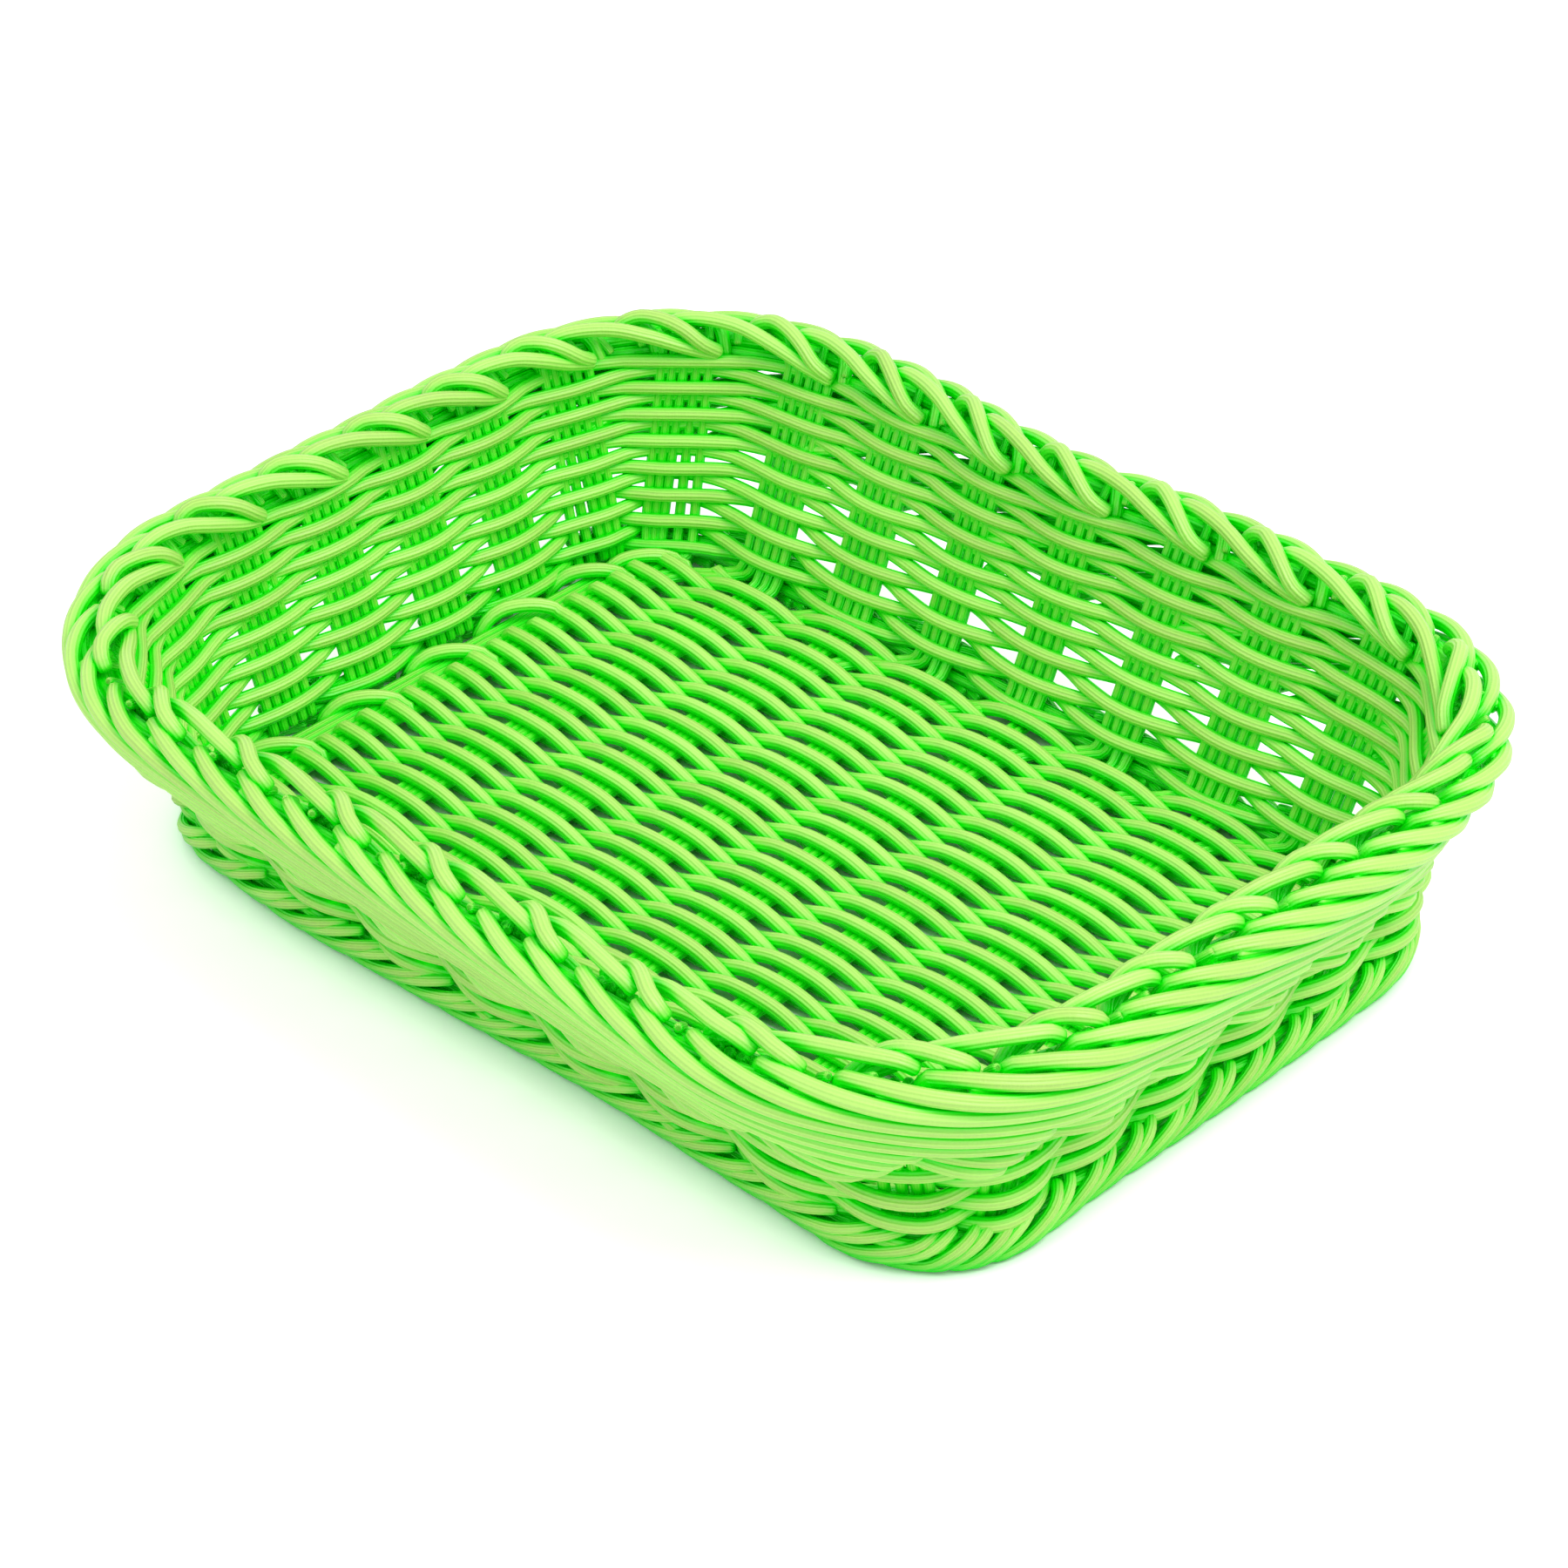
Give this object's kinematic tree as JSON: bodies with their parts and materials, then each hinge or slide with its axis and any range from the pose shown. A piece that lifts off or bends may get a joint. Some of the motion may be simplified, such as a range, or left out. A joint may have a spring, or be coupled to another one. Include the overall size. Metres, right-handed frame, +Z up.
{
  "type": "rectangular plastic basket",
  "caption": "Shallow rectangular basket with rounded corners and flared walls, woven from round plastic strands over stake groups, with a laid rim and foot border.",
  "frame": {"origin": "on the table under the middle of the basket, at the foot border's flat face", "axes": "+Z up out of the open top, +X along the long sides, +Y across the basket"},
  "size_m": [0.3998, 0.3158, 0.086],
  "materials": {
    "weaver_strand": "satin, lightly ribbed",
    "stake_strand": "satin, lightly ribbed",
    "border_strand": "satin, lightly ribbed"
  },
  "bodies": {
    "root": {"wall_weaver_01": "weaver_strand", "wall_weaver_02": "weaver_strand", "wall_weaver_03": "weaver_strand", "wall_weaver_04": "weaver_strand", "wall_weaver_05": "weaver_strand", "wall_weaver_06": "weaver_strand", "wall_weaver_07": "weaver_strand", "wall_weaver_08": "weaver_strand", "wall_weaver_09": "weaver_strand", "wall_weaver_10": "weaver_strand", "wall_weaver_11": "weaver_strand", "wall_weaver_12": "weaver_strand", "wall_weaver_13": "weaver_strand", "wall_weaver_14": "weaver_strand", "wall_weaver_15": "weaver_strand", "cross_stake_01": "stake_strand", "cross_stake_02": "stake_strand", "cross_stake_03": "stake_strand", "cross_stake_04": "stake_strand", "cross_stake_05": "stake_strand", "cross_stake_06": "stake_strand", "cross_stake_07": "stake_strand", "cross_stake_08": "stake_strand", "cross_stake_09": "stake_strand", "right_stake_01": "stake_strand", "right_stake_02": "stake_strand", "right_stake_03": "stake_strand", "right_stake_04": "stake_strand", "right_stake_05": "stake_strand", "right_stake_06": "stake_strand", "left_stake_01": "stake_strand", "left_stake_02": "stake_strand", "left_stake_03": "stake_strand", "left_stake_04": "stake_strand", "left_stake_05": "stake_strand", "left_stake_06": "stake_strand", "floor_weaver": "weaver_strand", "rim_outer_band": "border_strand", "rim_inner_braid": "border_strand", "foot_border": "border_strand"}
  },
  "joints": []
}
